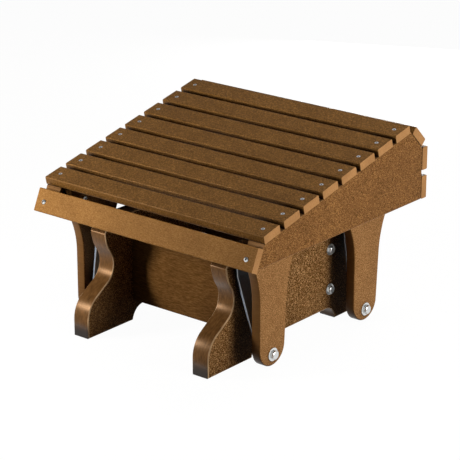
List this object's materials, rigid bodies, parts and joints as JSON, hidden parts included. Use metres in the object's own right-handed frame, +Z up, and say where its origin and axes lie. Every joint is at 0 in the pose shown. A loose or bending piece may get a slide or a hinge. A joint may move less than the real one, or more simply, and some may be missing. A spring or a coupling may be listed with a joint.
{
  "type": "glider ottoman",
  "caption": "Outdoor glider ottoman: a slatted sloping seat hangs on swinging steel links from a two-sided base and glides to the front and rear.",
  "frame": {"origin": "on the floor under the middle of the whole ottoman's width and depth", "axes": "+Z up, +Y to the high rear edge, +X to the right side as seen from behind the low front edge looking to the rear; the low front edge faces -Y"},
  "size_m": [0.523, 0.532, 0.3809],
  "materials": {
    "poly_lumber": "speckled brown recycled plastic board, slightly satin",
    "screw_steel": "stainless, satin",
    "zinc_plated_steel": "zinc plated, bright",
    "link_steel": "dark grey-blue coated flat bar, satin",
    "bushing_nylon": "plain nylon"
  },
  "bodies": {
    "base": {"base_side_left": "poly_lumber", "base_side_right": "poly_lumber", "stretcher_front": "poly_lumber", "stretcher_rear": "poly_lumber", "stretcher_bolts": "zinc_plated_steel", "stretcher_washers": "zinc_plated_steel", "upper_pivot_bolts": "zinc_plated_steel", "upper_pivot_nuts": "zinc_plated_steel", "upper_pivot_washers": "zinc_plated_steel"},
    "front_right_hanger": {"link_front_right": "link_steel", "bushings_front_right": "bushing_nylon"},
    "front_left_hanger": {"link_front_left": "link_steel", "bushings_front_left": "bushing_nylon"},
    "rear_right_hanger": {"link_rear_right": "link_steel", "bushings_rear_right": "bushing_nylon"},
    "rear_left_hanger": {"link_rear_left": "link_steel", "bushings_rear_left": "bushing_nylon"},
    "seat": {"top_slat_1": "poly_lumber", "top_slat_2": "poly_lumber", "top_slat_3": "poly_lumber", "top_slat_4": "poly_lumber", "top_slat_5": "poly_lumber", "top_slat_6": "poly_lumber", "top_slat_7": "poly_lumber", "top_slat_8": "poly_lumber", "corner_slat": "poly_lumber", "back_slat_upper": "poly_lumber", "back_slat_lower": "poly_lumber", "front_apron": "poly_lumber", "top_slat_screws": "screw_steel", "corner_slat_screws": "screw_steel", "back_slat_screws": "screw_steel", "apron_screws": "screw_steel", "side_panel_left": "poly_lumber", "side_panel_right": "poly_lumber", "leg_front_left": "poly_lumber", "leg_front_right": "poly_lumber", "leg_rear_left": "poly_lumber", "leg_rear_right": "poly_lumber", "leg_screws": "screw_steel", "lower_pivot_bolts": "zinc_plated_steel", "lower_pivot_nuts": "zinc_plated_steel", "lower_pivot_washers": "zinc_plated_steel"}
  },
  "joints": [
    {"name": "front_right_hanger_swing", "type": "hinge", "parent": "base", "child": "front_right_hanger", "pos_m": [0.1701, -0.17598, 0.198], "axis": [1, 0, 0], "range_deg": [-15, 15]},
    {"name": "front_left_hanger_swing", "type": "hinge", "parent": "base", "child": "front_left_hanger", "pos_m": [-0.1701, -0.17598, 0.198], "axis": [1, 0, 0], "range_deg": [-15, 15]},
    {"name": "rear_right_hanger_swing", "type": "hinge", "parent": "base", "child": "rear_right_hanger", "pos_m": [0.1701, 0.14797, 0.198], "axis": [1, 0, 0], "range_deg": [-15, 15]},
    {"name": "rear_left_hanger_swing", "type": "hinge", "parent": "base", "child": "rear_left_hanger", "pos_m": [-0.1701, 0.14797, 0.198], "axis": [1, 0, 0], "range_deg": [-15, 15]},
    {"name": "seat_glide", "type": "hinge", "parent": "front_right_hanger", "child": "seat", "pos_m": [0.1979, -0.15598, 0.0285], "axis": [1, 0, 0], "range_deg": [-17.2, 17.2]}
  ],
  "couplings": [
    {"joint": "front_left_hanger_swing", "follows": "front_right_hanger_swing", "ratio": 1},
    {"joint": "rear_right_hanger_swing", "follows": "front_right_hanger_swing", "ratio": 1},
    {"joint": "rear_left_hanger_swing", "follows": "front_right_hanger_swing", "ratio": 1},
    {"joint": "seat_glide", "follows": "front_right_hanger_swing", "ratio": -1.1385}
  ]
}
